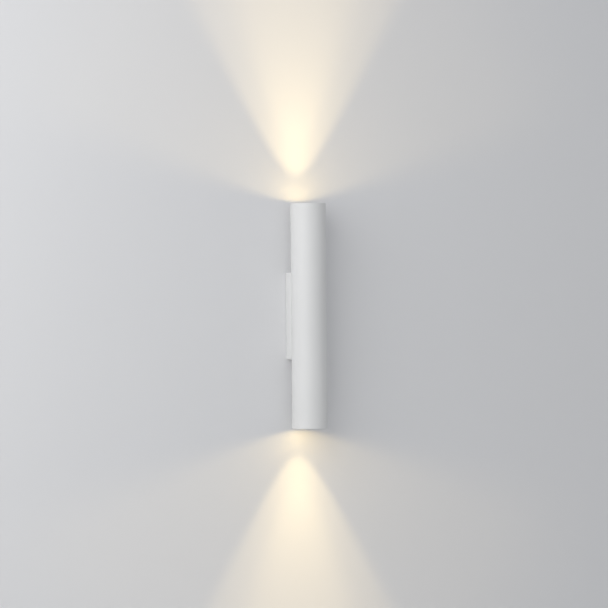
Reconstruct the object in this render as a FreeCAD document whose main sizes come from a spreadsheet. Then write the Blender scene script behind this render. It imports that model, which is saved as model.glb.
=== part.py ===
"""Tube wall light: a white aluminium tube on a mounting block, lit up and down by two twist-lock lamps.

The wall is the plane Y = 0, the light stands out along -Y, and the tube's axis is vertical.
The origin is the middle of the wall plate's rear face. Lengths are in millimetres.
"""
import FreeCAD, Part
import math
import os
import re

import Sketcher

DRIVING_SIZES = {
    # tube
    "tube_length": 350,
    "tube_wall": 2,
    "tube_edge": 0.4,
    "tube_wall_gap": 8,
    "window_width": 30,
    "window_height": 60,
    "window_corner": 4,
    # mounting block between the tube and the wall
    "block_width": 40,
    "block_height": 136,
    "block_wall": 2,
    "block_corner": 3,
    "block_standoff": 0.5,
    "seat_clearance": 0.05,
    "boss_diameter": 10,
    "boss_height": 0.8,
    # screws that clamp block, tube and carrier together
    "clamp_screw_spacing": 100,
    "clamp_screw_diameter": 4,
    "clamp_screw_length": 12,
    "clamp_head_diameter": 8,
    "clamp_head_height": 2.2,
    "screw_hole_clearance": 0.2,
    "thread_clearance": 0.05,
    "nut_flange_diameter": 9,
    "nut_shank_diameter": 6,
    "nut_bulge_diameter": 8,
    "nut_bulge_height": 2.5,
    "nut_length": 9,
    # wall plate
    "plate_thickness": 1.5,
    "plate_side_clearance": 1,
    "tab_width": 20,
    "tab_gap": 2.4,
    "tab_saddle_clearance": 0.65,
    "wall_hole_spacing": 60,
    "wall_hole_width": 4.5,
    "wall_hole_length": 10,
    "locking_screw_diameter": 3,
    "locking_screw_recess": 0.4,
    "locking_socket_width": 1.5,
    "locking_socket_depth": 1.6,
    # cable grommet
    "cable_bore": 8,
    "grommet_sleeve_diameter": 12,
    "grommet_flange_diameter": 16,
    "grommet_flange_height": 1.4,
    # lamp carrier, bent from strip
    "sheet": 1.5,
    "strip_width": 18,
    "strip_bore_clearance": 0.15,
    "bend_radius": 1.5,
    "joggle_depth": 18,
    "shelf_spacing": 80,
    "shelf_hole_width": 12,
    "shelf_hole_depth": 7,
    "flange_margin": 1,
    # lamp
    "lamp_recess": 17,
    "lamp_diameter": 50,
    "lamp_bore_clearance": 0.5,
    "lamp_rim_height": 8,
    "lamp_neck_diameter": 31,
    "lamp_body_height": 32,
    "lamp_shell": 2,
    "lens_rim": 2.7,
    "lens_thickness": 2.5,
    "lens_setback": 0.5,
    "lens_clearance": 0.1,
    "base_diameter": 28,
    "base_flats": 18,
    "base_height": 14.5,
    "base_spigot_diameter": 24,
    "base_spigot_height": 3,
    "board_diameter": 30,
    "board_thickness": 1.6,
    "board_depth": 17,
    "chip_size": 9,
    "chip_height": 1,
    "reflector_wall": 1,
    "pin_spacing": 10,
    "pin_neck_diameter": 3,
    "pin_head_diameter": 5,
    "pin_head_height": 2.2,
    "pin_length": 7.5,
    "twist_angle": 30,
    # lampholder
    "holder_diameter": 28,
    "holder_height": 17,
    "holder_face": 4.4,
    "holder_lamp_clearance": 0.3,
    "neck_slot_clearance": 0.25,
    "head_slot_clearance": 0.4,
    "cavity_depth": 3.8,
    "contact_thickness": 0.8,
    "contact_clearance": 0.15,
    "barrel_diameter": 2.6,
    "barrel_length": 6,
    "barrel_clearance": 0.2,
    "holder_screw_spacing": 17,
    "holder_screw_diameter": 3,
    "holder_head_diameter": 5.5,
    "holder_head_height": 1.8,
    "counterbore_depth": 9,
    "screw_tip_length": 1.2,
    # front rings
    "ring_bore_clearance": 0.3,
    "ring_lamp_clearance": 0.3,
    "ring_setback": 1,
    "ring_foot_wall": 3.7,
    "ring_mouth_wall": 2.6,
    "ring_edge": 0.5,
    "seal_section": 2,
    "seal_bore_clearance": 0.05,
    "seal_groove_width": 2.2,
    "seal_groove_clearance": 0.02,
    "seal_height": 8,
    # terminal block and leads
    "terminal_pitch": 10,
    "terminal_end": 4,
    "terminal_height": 17,
    "terminal_depth": 12,
    "terminal_axis_height": 5,
    "clamp_diameter": 5.6,
    "clamp_bore": 3.4,
    "clamp_end_setback": 1,
    "terminal_screw_spacing": 9,
    "terminal_screw_diameter": 3,
    "terminal_screw_recess": 0.8,
    "fixing_screw_diameter": 3,
    "fixing_head_diameter": 5.5,
    "fixing_head_height": 1.8,
    "lead_diameter": 2,
    "core_diameter": 1.2,
    "core_clearance": 0.1,
    "lead_spread": 8,
    "lead_drop": 18,
    "lead_turn": 10,
    "earth_lead_run": 4,
    # earth connection
    "earth_screw_diameter": 4,
    "earth_head_diameter": 7,
    "earth_head_height": 2.4,
    "earth_screw_offset": 5,
    "earth_screw_height": 33,
    "tag_diameter": 8,
    "tag_thickness": 0.8,
    "tag_barrel_diameter": 3.2,
    "tag_barrel_length": 5,
}

doc = FreeCAD.newDocument("tube_wall_light")
sheet = doc.addObject("Spreadsheet::Sheet", "sizes")
sub_parts = {}

ALONG_MINUS_Y = FreeCAD.Rotation(FreeCAD.Vector(1, 0, 0), 90)
UPSIDE_DOWN = FreeCAD.Rotation(FreeCAD.Vector(0, 1, 0), 180)
HALF_TURN = FreeCAD.Rotation(FreeCAD.Vector(0, 0, 1), 180)
NO_TURN = FreeCAD.Rotation()
ENDS = ("upper", "lower")

# Sums of the driving sizes that several pieces share
TUBE_RADIUS = "(lamp_diameter / 2 + lamp_bore_clearance + tube_wall)"
BORE_RADIUS = f"({TUBE_RADIUS} - tube_wall)"
AXIS_Y = f"(-tube_wall_gap - {TUBE_RADIUS})"
SADDLE_OUTER = f"({TUBE_RADIUS} + seat_clearance)"
SADDLE_INNER = f"({SADDLE_OUTER} + block_wall)"
BOSS_SEAT_Y = f"({AXIS_Y} + {SADDLE_INNER} + boss_height)"
STRIP_BACK_Y = f"({AXIS_Y} + sqrt({BORE_RADIUS} ^ 2 - (strip_width / 2) ^ 2) - strip_bore_clearance)"
STRIP_FRONT_Y = f"({STRIP_BACK_Y} - sheet)"
MIDDLE_BACK_Y = f"({STRIP_BACK_Y} - joggle_depth)"
MIDDLE_FRONT_Y = f"({MIDDLE_BACK_Y} - sheet)"
TERMINAL_Y = f"({MIDDLE_BACK_Y} + terminal_axis_height)"
TERMINAL_BACK_Y = f"({MIDDLE_BACK_Y} + terminal_depth)"
TAB_TOP = "(block_height / 2 - block_wall - tab_gap)"
TAB_TIP_Y = f"({AXIS_Y} + {SADDLE_INNER} + tab_saddle_clearance)"
LAMP_FRONT = "(tube_length / 2 - lamp_recess)"
# heights below the lamp's front plane
BASE_BACK = "(-lamp_body_height - base_height)"
HOLDER_TOP = f"({BASE_BACK} - holder_lamp_clearance)"
HOLDER_BACK = f"({HOLDER_TOP} - holder_height)"
CAVITY_TOP = f"({HOLDER_TOP} - holder_face)"
CAVITY_FLOOR = f"({CAVITY_TOP} - cavity_depth)"
BARREL_BACK = f"({CAVITY_FLOOR} - barrel_length)"
FLANGE_TOP = f"({LAMP_FRONT} + {HOLDER_BACK})"
LEAD_TOP = f"({LAMP_FRONT} + {BARREL_BACK})"


def bound(text):
    """The sum with each alias written as a cell of the sheet."""
    return re.sub(r"[a-z]\w*", lambda word: f"sizes.{word[0]}" if word[0] in DRIVING_SIZES else word[0], str(text))


def value(text):
    """What the sum comes to with the sheet as it is."""
    return float(sheet.evalExpression(bound(text)))


def bind(item, **sums):
    """Tie properties to sums; two underscores in a name stand for a dot."""
    for name, text in sums.items():
        item.setExpression(name.replace("__", "."), bound(text))
    return item


def place(item, x=0, y=0, z=0, turn=NO_TURN):
    item.Placement = FreeCAD.Placement(FreeCAD.Vector(value(x), value(y), value(z)), turn)
    for direction, text in zip("xyz", (x, y, z)):
        if text != 0:
            bind(item, **{f"Placement__Base__{direction}": text})
    return item


# Solids from primitives and booleans

def box(name, x, y, z):
    """A box between two sums along each axis."""
    item = doc.addObject("Part::Box", name)
    bind(item, Length=f"{x[1]} - ({x[0]})", Width=f"{y[1]} - ({y[0]})", Height=f"{z[1]} - ({z[0]})")
    return place(item, x[0], y[0], z[0])


def cylinder(name, diameter, height, x=0, y=0, z=0, turn=NO_TURN, angle=360):
    item = doc.addObject("Part::Cylinder", name)
    bind(item, Radius=f"({diameter}) / 2", Height=height, Angle=angle)
    return place(item, x, y, z, turn)


def fused(name, items):
    item = doc.addObject("Part::MultiFuse", name)
    item.Shapes = items
    return item


def group(name, items):
    item = doc.addObject("Part::Compound", name)
    item.Links = items
    return item


def cut(name, base, tools):
    item = doc.addObject("Part::Cut", name)
    item.Base = base
    item.Tool = tools[0] if len(tools) == 1 else fused(f"{name}_tools", tools)
    return item


# Solids from sketches

def origin_plane(body, role):
    return next(plane for plane in body.Origin.OriginFeatures if plane.Role == role)


def draw_loop(sketch, corners):
    """Straight sides through the corners, each corner held by a pair of sums.

    In a constraint, geometry -1 is the sketch's origin, point 1 a side's start and point 2 its end.
    """
    points = [FreeCAD.Vector(value(x), value(y), 0) for x, y in corners]
    first = sketch.GeometryCount
    for index, point in enumerate(points):
        sketch.addGeometry(Part.LineSegment(point, points[(index + 1) % len(points)]))
    for index, corner in enumerate(corners):
        side = first + index
        following = first + (index + 1) % len(corners)
        sketch.addConstraint(Sketcher.Constraint("Coincident", side, 2, following, 1))
        for kind, text in zip(("DistanceX", "DistanceY"), corner):
            rule = Sketcher.Constraint(kind, -1, 1, side, 1, value(text))
            number = sketch.addConstraint(rule)
            sketch.setExpression(f"Constraints[{number}]", bound(text))


def sketched(name, role, loops):
    body = doc.addObject("PartDesign::Body", name)
    sketch = body.newObject("Sketcher::SketchObject", f"{name}_outline")
    sketch.AttachmentSupport = (origin_plane(body, role), [""])
    sketch.MapMode = "FlatFace"
    for corners in loops:
        draw_loop(sketch, corners)
    return body, sketch


def revolved(name, corners):
    """A solid of revolution about Z; a corner is a radius and a height."""
    body, sketch = sketched(name, "XZ_Plane", [corners])
    turning = body.newObject("PartDesign::Revolution", f"{name}_turned")
    turning.Profile = sketch
    turning.ReferenceAxis = (sketch, ["V_Axis"])
    turning.Angle = 360
    return body


def padded(name, role, corners, length, both_ways=False):
    """A straight extrusion of one outline from an origin plane."""
    body, sketch = sketched(name, role, [corners])
    pad = body.newObject("PartDesign::Pad", f"{name}_pad")
    pad.Profile = sketch
    pad.Midplane = both_ways
    bind(pad, Length=length)
    return body


def rounded(body, radius, chosen):
    """Fillet the edges of the body's last feature whose middle point and direction are chosen."""
    doc.recompute()
    last = body.Tip
    names = []
    for number, edge in enumerate(last.Shape.Edges, 1):
        middle = edge.CenterOfMass
        direction = edge.tangentAt(edge.FirstParameter)
        if isinstance(edge.Curve, Part.Line) and chosen(middle, direction):
            names.append(f"Edge{number}")
    fillet = body.newObject("PartDesign::Fillet", f"{body.Name}_fillet_{len(body.Group)}")
    fillet.Base = (last, names)
    bind(fillet, Radius=radius)
    return body


def rounded_slab(name, width, height, depth, radius):
    """A plate centred on the origin in X and Z, from Y = 0 along -Y, its four corners rounded."""
    x, z = f"({width}) / 2", f"({height}) / 2"
    corners = [(f"-{x}", f"-{z}"), (x, f"-{z}"), (x, z), (f"-{x}", z)]
    body = padded(name, "XZ_Plane", corners, depth)
    return rounded(body, radius, lambda middle, direction: abs(direction.y) > 0.9)


def keep(item, label, place_at_end=None):
    """Register a finished sub-part; a lamp-end piece is moved from its own frame to that end of the tube."""
    item.Label = label
    if place_at_end == "upper":
        place(item, 0, AXIS_Y, LAMP_FRONT)
    if place_at_end == "lower":
        place(item, 0, AXIS_Y, f"-{LAMP_FRONT}", UPSIDE_DOWN)
    sub_parts[label] = item


# Tube, block and the screws that clamp them

def tube_cylinder(name, radius):
    """A full-length cylinder about the tube's axis, for cutting what seats on the tube."""
    return cylinder(name, f"{radius} * 2", "tube_length", y=AXIS_Y, z="-tube_length / 2")


def window(name):
    """The wiring window behind the terminals, cut from the wall plane into the tube."""
    slab = rounded_slab(name, "window_width", "window_height", f"-{AXIS_Y}", "window_corner")
    return slab


def clamp_holes(name):
    holes = []
    for sign in ("", "-"):
        hole = cylinder(f"{name}_{len(holes)}", "clamp_screw_diameter + 2 * screw_hole_clearance", f"-{AXIS_Y}",
                        z=f"{sign}clamp_screw_spacing / 2", turn=ALONG_MINUS_Y)
        holes.append(hole)
    return holes


def make_tube():
    half = "tube_length / 2"
    profile = [
        (BORE_RADIUS, f"-{half}"),
        (f"{TUBE_RADIUS} - tube_edge", f"-{half}"),
        (TUBE_RADIUS, f"-{half} + tube_edge"),
        (TUBE_RADIUS, f"{half} - tube_edge"),
        (f"{TUBE_RADIUS} - tube_edge", half),
        (BORE_RADIUS, half),
    ]
    extrusion = place(revolved("tube_extrusion", profile), y=AXIS_Y)
    keep(cut("tube_cut", extrusion, [window("tube_window"), *clamp_holes("tube_hole")]), "tube_body")


def make_mount_block():
    """An open-backed cast box whose front is a saddle round the tube."""
    outer = rounded_slab("block_outer", "block_width", "block_height", f"-{AXIS_Y} - block_standoff", "block_corner")
    place(outer, y="-block_standoff")
    hollow = rounded_slab("block_hollow", "block_width - 2 * block_wall", "block_height - 2 * block_wall",
                          f"-{AXIS_Y}", "block_corner - block_wall")
    hollow_behind_saddle = cut("block_core", hollow, [tube_cylinder("saddle_back", SADDLE_INNER)])
    shell = cut("block_shell", outer, [hollow_behind_saddle])
    bosses = [
        cylinder(f"block_boss_{number}", "boss_diameter", f"{BOSS_SEAT_Y} - {AXIS_Y}", y=BOSS_SEAT_Y,
                 z=f"{sign}clamp_screw_spacing / 2", turn=ALONG_MINUS_Y)
        for number, sign in enumerate(("", "-"))
    ]
    body = fused("block_with_bosses", [shell, *bosses])
    tools = [tube_cylinder("saddle_front", SADDLE_OUTER), window("block_window"), *clamp_holes("block_hole")]
    for number, sign in enumerate(("", "-")):
        low = f"{sign}block_height / 2 - block_wall * 1.5"
        hole = cylinder(f"locking_hole_{number}", "locking_screw_diameter + 2 * thread_clearance", "block_wall * 3",
                        y=locking_y(), z=low)
        tools.append(hole)
    keep(cut("block_cut", body, tools), "mount_block")


def locking_y():
    """The locking screws stand over the middle of the wall plate's tabs."""
    return f"({TAB_TIP_Y} - plate_thickness) / 2"


def make_clamp_screws():
    """Pan-head screws from the hollow of the block through the tube into the rivet nuts."""
    screws = []
    for number, sign in enumerate(("", "-")):
        z = f"{sign}clamp_screw_spacing / 2"
        head = cylinder(f"clamp_head_{number}", "clamp_head_diameter", "clamp_head_height",
                        y=f"{BOSS_SEAT_Y} + clamp_head_height", z=z, turn=ALONG_MINUS_Y)
        shank = cylinder(f"clamp_shank_{number}", "clamp_screw_diameter", "clamp_screw_length",
                         y=BOSS_SEAT_Y, z=z, turn=ALONG_MINUS_Y)
        screws.append(fused(f"clamp_screw_{number}", [head, shank]))
    keep(group("clamp_screw_pair", screws), "block_screws")


def make_rivet_nuts():
    """Rivet nuts that hold the strip off the round bore: flange behind the strip, bulge before it."""
    flange_back = f"({AXIS_Y} + sqrt({BORE_RADIUS} ^ 2 - (nut_flange_diameter / 2) ^ 2) - seat_clearance)"
    nuts = []
    for number, sign in enumerate(("", "-")):
        z = f"{sign}clamp_screw_spacing / 2"
        flange = cylinder(f"nut_flange_{number}", "nut_flange_diameter", f"{flange_back} - {STRIP_BACK_Y}",
                          y=flange_back, z=z, turn=ALONG_MINUS_Y)
        shank = cylinder(f"nut_shank_{number}", "nut_shank_diameter", "nut_length", y=flange_back, z=z,
                         turn=ALONG_MINUS_Y)
        bulge = cylinder(f"nut_bulge_{number}", "nut_bulge_diameter", "nut_bulge_height", y=STRIP_FRONT_Y, z=z,
                         turn=ALONG_MINUS_Y)
        thread = cylinder(f"nut_thread_{number}", "clamp_screw_diameter + 2 * thread_clearance", "nut_length * 2",
                          y=f"{flange_back} + 1", z=z, turn=ALONG_MINUS_Y)
        nuts.append(cut(f"rivet_nut_{number}", fused(f"nut_body_{number}", [flange, shank, bulge]), [thread]))
    keep(group("rivet_nut_pair", nuts), "rivet_nuts")


# Wall plate

def make_wall_plate():
    """A steel strap with a tab bent forward at each end for the locking screws."""
    profile = [
        ("0", f"-{TAB_TOP}"),
        ("0", TAB_TOP),
        (TAB_TIP_Y, TAB_TOP),
        (TAB_TIP_Y, f"{TAB_TOP} - plate_thickness"),
        ("-plate_thickness", f"{TAB_TOP} - plate_thickness"),
        ("-plate_thickness", f"-{TAB_TOP} + plate_thickness"),
        (TAB_TIP_Y, f"-{TAB_TOP} + plate_thickness"),
        (TAB_TIP_Y, f"-{TAB_TOP}"),
    ]
    strap = padded("plate_strap", "YZ_Plane", profile, "tab_width", both_ways=True)
    wide = rounded_slab("plate_flat", "block_width - 2 * block_wall - 2 * plate_side_clearance",
                        f"2 * {TAB_TOP} - 4 * plate_thickness", "plate_thickness", "plate_thickness")
    plate = fused("plate_body", [strap, wide])
    tools = [cylinder("plate_cable_hole", "grommet_sleeve_diameter", "plate_thickness * 3", y="plate_thickness",
                      turn=ALONG_MINUS_Y)]
    for number, sign in enumerate(("", "-")):
        middle = f"({sign}wall_hole_spacing / 2)"
        reach = "((wall_hole_length - wall_hole_width) / 2)"
        slot = box(f"plate_slot_{number}", ("-wall_hole_width / 2", "wall_hole_width / 2"),
                   ("-plate_thickness * 2", "plate_thickness"), (f"{middle} - {reach}", f"{middle} + {reach}"))
        tools.append(slot)
        for end, step in enumerate(("+", "-")):
            tools.append(cylinder(f"plate_slot_end_{number}_{end}", "wall_hole_width", "plate_thickness * 3",
                                  y="plate_thickness", z=f"{middle} {step} {reach}", turn=ALONG_MINUS_Y))
    keep(cut("plate_cut", plate, tools), "wall_plate")


def make_grommet():
    """A push-in cable bush, flush with the wall side of the plate."""
    bore, sleeve, flange = "cable_bore / 2", "grommet_sleeve_diameter / 2", "grommet_flange_diameter / 2"
    front = "plate_thickness + grommet_flange_height"
    profile = [(bore, "0"), (sleeve, "0"), (sleeve, "plate_thickness"), (flange, "plate_thickness"),
               (flange, front), (bore, front)]
    keep(place(revolved("grommet_turned", profile), turn=ALONG_MINUS_Y), "cable_grommet")


def make_locking_screws():
    """Socket set screws in the top and bottom of the block, tightened on the plate's tabs."""
    length = f"block_height / 2 - locking_screw_recess - {TAB_TOP} - seat_clearance"
    screws = []
    for number, sign in enumerate(("", "-")):
        turn = NO_TURN if sign == "" else UPSIDE_DOWN
        tip = f"{sign}({TAB_TOP} + seat_clearance)"
        top = f"{sign}(block_height / 2 - locking_screw_recess - locking_socket_depth)"
        shank = cylinder(f"locking_shank_{number}", "locking_screw_diameter", length, y=locking_y(), z=tip, turn=turn)
        socket = cylinder(f"locking_socket_{number}", "locking_socket_width", "locking_socket_depth * 2",
                          y=locking_y(), z=top, turn=turn)
        screws.append(cut(f"locking_screw_{number}", shank, [socket]))
    keep(group("locking_screw_pair", screws), "locking_screws")


# Lamp carrier

def make_carrier():
    """One strip, joggled forward behind the window and bent in at both ends to carry the lampholders."""
    tip = f"({AXIS_Y} - holder_diameter / 2 + flange_margin)"
    shelf = "(shelf_spacing / 2)"
    upper_half = [
        (tip, FLANGE_TOP),
        (tip, f"{FLANGE_TOP} - sheet"),
        (STRIP_FRONT_Y, f"{FLANGE_TOP} - sheet"),
        (STRIP_FRONT_Y, f"{shelf}"),
        (MIDDLE_FRONT_Y, f"{shelf}"),
    ]
    upper_back = [
        (MIDDLE_BACK_Y, f"{shelf} - sheet"),
        (STRIP_BACK_Y, f"{shelf} - sheet"),
        (STRIP_BACK_Y, FLANGE_TOP),
    ]
    lower_half = [(y, f"-({z})") for y, z in reversed(upper_half)]
    lower_back = [(y, f"-({z})") for y, z in reversed(upper_back)]
    strip = padded("carrier_strip", "YZ_Plane", upper_half + lower_half + lower_back + upper_back,
                   "strip_width", both_ways=True)
    rounded(strip, "bend_radius", is_inner_bend)
    rounded(strip, "bend_radius + sheet", is_outer_bend)
    tools = []
    for number, sign in enumerate(("", "-")):
        z = f"{sign}clamp_screw_spacing / 2"
        tools.append(cylinder(f"carrier_nut_hole_{number}", "nut_shank_diameter", "sheet * 3",
                              y=f"{STRIP_BACK_Y} + sheet", z=z, turn=ALONG_MINUS_Y))
        low = f"{sign}shelf_spacing / 2 - sheet * 1.5"
        tools.append(box(f"carrier_shelf_hole_{number}", ("-shelf_hole_width / 2", "shelf_hole_width / 2"),
                         (f"{TERMINAL_Y} - shelf_hole_depth / 2", f"{TERMINAL_Y} + shelf_hole_depth / 2"),
                         (low, f"{low} + sheet * 3")))
        low = f"{sign}{FLANGE_TOP} - sheet * 1.5"
        for side, step in enumerate(("", "-")):
            tools.append(cylinder(f"carrier_lead_hole_{number}_{side}", "lead_diameter * 2", "sheet * 3",
                                  x=f"{step}pin_spacing / 2", y=AXIS_Y, z=low))
            tools.append(cylinder(f"carrier_screw_hole_{number}_{side}", "holder_screw_diameter + 2 * thread_clearance",
                                  "sheet * 3", y=f"{AXIS_Y} {'-' if step else '+'} holder_screw_spacing / 2", z=low))
    for side, step in enumerate(("", "-")):
        tools.append(cylinder(f"carrier_fixing_hole_{side}", "fixing_screw_diameter + 2 * thread_clearance",
                              "sheet * 3", x=f"{step}terminal_pitch / 2", y=f"{MIDDLE_BACK_Y} + sheet",
                              turn=ALONG_MINUS_Y))
    tools.append(cylinder("carrier_earth_hole", "earth_screw_diameter + 2 * thread_clearance", "sheet * 3",
                          x="earth_screw_offset", y=f"{MIDDLE_BACK_Y} + sheet", z="-earth_screw_height",
                          turn=ALONG_MINUS_Y))
    keep(cut("carrier_cut", strip, tools), "lamp_carrier")


def bend_corners():
    """Inner and outer corner of each bend in the upper half of the strip, as Y and height."""
    shelf_top, flange_top = value("shelf_spacing / 2"), value(FLANGE_TOP)
    shelf_under, flange_under = shelf_top - value("sheet"), flange_top - value("sheet")
    back, front = value(STRIP_BACK_Y), value(STRIP_FRONT_Y)
    middle_back, middle_front = value(MIDDLE_BACK_Y), value(MIDDLE_FRONT_Y)
    inner = [(front, flange_under), (front, shelf_top), (middle_back, shelf_under)]
    outer = [(back, flange_top), (back, shelf_under), (middle_front, shelf_top)]
    return inner, outer


def is_at(middle, direction, corners):
    reach = 0.01
    return abs(direction.x) > 0.9 and any(
        abs(middle.y - y) < reach and abs(abs(middle.z) - z) < reach for y, z in corners)


def is_inner_bend(middle, direction):
    return is_at(middle, direction, bend_corners()[0])


def is_outer_bend(middle, direction):
    return is_at(middle, direction, bend_corners()[1])


# Lampholders, made in the lamp's frame: its front plane is Z = 0 and it points along +Z

def arc_slot(name, width, low, height, turn=NO_TURN):
    """A slot of the given width along the arc that a lamp pin sweeps from locked to free."""
    radius = "pin_spacing / 2"
    wide = cylinder(f"{name}_wide", f"pin_spacing + {width}", height, z=low, angle="twist_angle")
    core = cylinder(f"{name}_core", f"pin_spacing - {width}", height, z=low)
    sector = cut(f"{name}_sector", wide, [core])
    locked_end = cylinder(f"{name}_locked", width, height, x=radius, z=low)
    free_end = cylinder(f"{name}_free", width, height, x=f"{radius} * cos(twist_angle)",
                        y=f"{radius} * sin(twist_angle)", z=low)
    slot = fused(name, [sector, locked_end, free_end])
    slot.Placement = FreeCAD.Placement(FreeCAD.Vector(), turn)
    return slot


def make_lampholder(end):
    """Ceramic body with two keyhole slots for the pins, over a cavity for the contacts."""
    neck = "(pin_neck_diameter + 2 * neck_slot_clearance)"
    head = "(pin_head_diameter + 2 * head_slot_clearance)"
    through = "holder_height * 2"
    body = cylinder(f"{end}_holder_body", "holder_diameter", "holder_height", z=HOLDER_BACK)
    tools = []
    for number, turn in enumerate((NO_TURN, HALF_TURN)):
        side = "-" if number else ""
        tools.append(arc_slot(f"{end}_neck_slot_{number}", neck, f"{CAVITY_TOP} - 1", "holder_face + 2", turn))
        tools.append(arc_slot(f"{end}_cavity_{number}", head, CAVITY_FLOOR, "cavity_depth", turn))
        tools.append(cylinder(f"{end}_entry_{number}", head, "holder_face + 2",
                              x=f"{side}pin_spacing / 2 * cos(twist_angle)",
                              y=f"{side}pin_spacing / 2 * sin(twist_angle)", z=f"{CAVITY_TOP} - 1"))
        tools.append(cylinder(f"{end}_barrel_hole_{number}", "barrel_diameter + 2 * barrel_clearance", through,
                              x=f"{side}pin_spacing / 2", z=f"{CAVITY_FLOOR} + 1 - {through}"))
        y = f"{side}holder_screw_spacing / 2"
        tools.append(cylinder(f"{end}_screw_hole_{number}", "holder_screw_diameter + 2 * screw_hole_clearance",
                              through, y=y, z=f"{HOLDER_BACK} - 1"))
        tools.append(cylinder(f"{end}_counterbore_{number}", "holder_head_diameter + 2 * screw_hole_clearance",
                              through, y=y, z=f"{HOLDER_TOP} - counterbore_depth"))
    keep(cut(f"{end}_holder_cut", body, tools), f"{end}_lampholder", end)


def make_contacts(end):
    """Brass contact under each pin head, with a crimp barrel for its lead."""
    width = "(pin_head_diameter + 2 * head_slot_clearance - 2 * contact_clearance)"
    contacts = []
    for number, turn in enumerate((NO_TURN, HALF_TURN)):
        side = "-" if number else ""
        leaf = arc_slot(f"{end}_leaf_{number}", width, CAVITY_FLOOR, "contact_thickness", turn)
        barrel = cylinder(f"{end}_barrel_{number}", "barrel_diameter", "barrel_length",
                          x=f"{side}pin_spacing / 2", z=BARREL_BACK)
        bore = cylinder(f"{end}_crimp_{number}", "core_diameter + 2 * core_clearance", "barrel_length",
                        x=f"{side}pin_spacing / 2", z=f"{BARREL_BACK} - contact_thickness")
        contacts.append(cut(f"{end}_contact_{number}", fused(f"{end}_contact_body_{number}", [leaf, barrel]), [bore]))
    keep(group(f"{end}_contact_pair", contacts), f"{end}_contacts", end)


def make_holder_screws(end):
    screws = []
    for number, side in enumerate(("", "-")):
        y = f"{side}holder_screw_spacing / 2"
        seat = f"{HOLDER_TOP} - counterbore_depth"
        shank = "holder_height - counterbore_depth + sheet + screw_tip_length"
        head = cylinder(f"{end}_holder_head_{number}", "holder_head_diameter", "holder_head_height", y=y, z=seat)
        thread = cylinder(f"{end}_holder_shank_{number}", "holder_screw_diameter", shank, y=y,
                          z=f"{seat} - ({shank})")
        screws.append(fused(f"{end}_holder_screw_{number}", [head, thread]))
    keep(group(f"{end}_holder_screw_pair", screws), f"{end}_holder_screws", end)


# Twist-lock lamps

LENS_RADIUS = "(lamp_diameter / 2 - lens_rim)"
LENS_BACK = "(lens_setback + lens_thickness)"
BOARD_SEAT = "(board_depth + board_thickness)"


def make_lamp_shell(end):
    """The lamp's cup: straight rim, tapered wall, a ledge for the lens and one for the board."""
    lens_seat = f"({LENS_RADIUS} + lens_clearance)"
    ledge = "(board_diameter / 2 - lamp_shell)"
    profile = [
        (lens_seat, "0"),
        ("lamp_diameter / 2 - ring_edge", "0"),
        ("lamp_diameter / 2", "-ring_edge"),
        ("lamp_diameter / 2", "-lamp_rim_height"),
        ("lamp_neck_diameter / 2", "-lamp_body_height"),
        ("base_spigot_diameter / 2 + lens_clearance", "-lamp_body_height"),
        ("base_spigot_diameter / 2 + lens_clearance", "-lamp_body_height + base_spigot_height"),
        (ledge, f"-{BOARD_SEAT} - lamp_shell"),
        (ledge, f"-{BOARD_SEAT}"),
        ("board_diameter / 2 + lens_clearance", f"-{BOARD_SEAT}"),
        ("board_diameter / 2 + lens_clearance", "-board_depth"),
        (f"{LENS_RADIUS} - lamp_shell", f"-{LENS_BACK} - lamp_shell"),
        (f"{LENS_RADIUS} - lamp_shell", f"-{LENS_BACK}"),
        (lens_seat, f"-{LENS_BACK}"),
    ]
    keep(revolved(f"{end}_lamp_cup", profile), f"{end}_lamp_shell", end)


def make_lamp_lens(end):
    """A flat lens with a turned-down edge, seated on the cup's ledge."""
    profile = [
        ("0", f"-{LENS_BACK}"),
        (LENS_RADIUS, f"-{LENS_BACK}"),
        (LENS_RADIUS, "-lens_setback - ring_edge"),
        (f"{LENS_RADIUS} - ring_edge", "-lens_setback"),
        ("0", "-lens_setback"),
    ]
    keep(revolved(f"{end}_lens_disc", profile), f"{end}_lamp_lens", end)


def make_lamp_board(end):
    """Aluminium board on its ledge, with the light-emitting chip in the middle."""
    plate = cylinder(f"{end}_board_plate", "board_diameter", "board_thickness", z=f"-{BOARD_SEAT}")
    chip = box(f"{end}_chip", ("-chip_size / 2", "chip_size / 2"), ("-chip_size / 2", "chip_size / 2"),
               ("-board_depth", "-board_depth + chip_height"))
    keep(fused(f"{end}_board_with_chip", [plate, chip]), f"{end}_led_board", end)


def make_lamp_reflector(end):
    """A cone from round the chip to the back of the lens."""
    foot = "(chip_size * 0.75)"
    mouth = f"({LENS_RADIUS} - lamp_shell - reflector_wall - lens_clearance)"
    low = "-board_depth + lens_clearance"
    high = f"-{LENS_BACK} - lens_clearance"
    profile = [
        (foot, low),
        (f"{foot} + reflector_wall", low),
        (f"{mouth} + reflector_wall", high),
        (mouth, high),
    ]
    keep(revolved(f"{end}_reflector_cone", profile), f"{end}_lamp_reflector", end)


def make_lamp_base(end):
    """Moulded base with two flats and a spigot in the cup; the pins stand in its back."""
    spigot = cylinder(f"{end}_spigot", "base_spigot_diameter", "base_spigot_height", z="-lamp_body_height")
    collar = cylinder(f"{end}_collar", "base_diameter", "base_height", z=BASE_BACK)
    waist = box(f"{end}_waist", ("-base_diameter", "base_diameter"), ("-base_flats / 2", "base_flats / 2"),
                (BASE_BACK, "-lamp_body_height"))
    flats = doc.addObject("Part::MultiCommon", f"{end}_flats")
    flats.Shapes = [collar, waist]
    keep(fused(f"{end}_base_body", [flats, spigot]), f"{end}_lamp_base", end)


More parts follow.
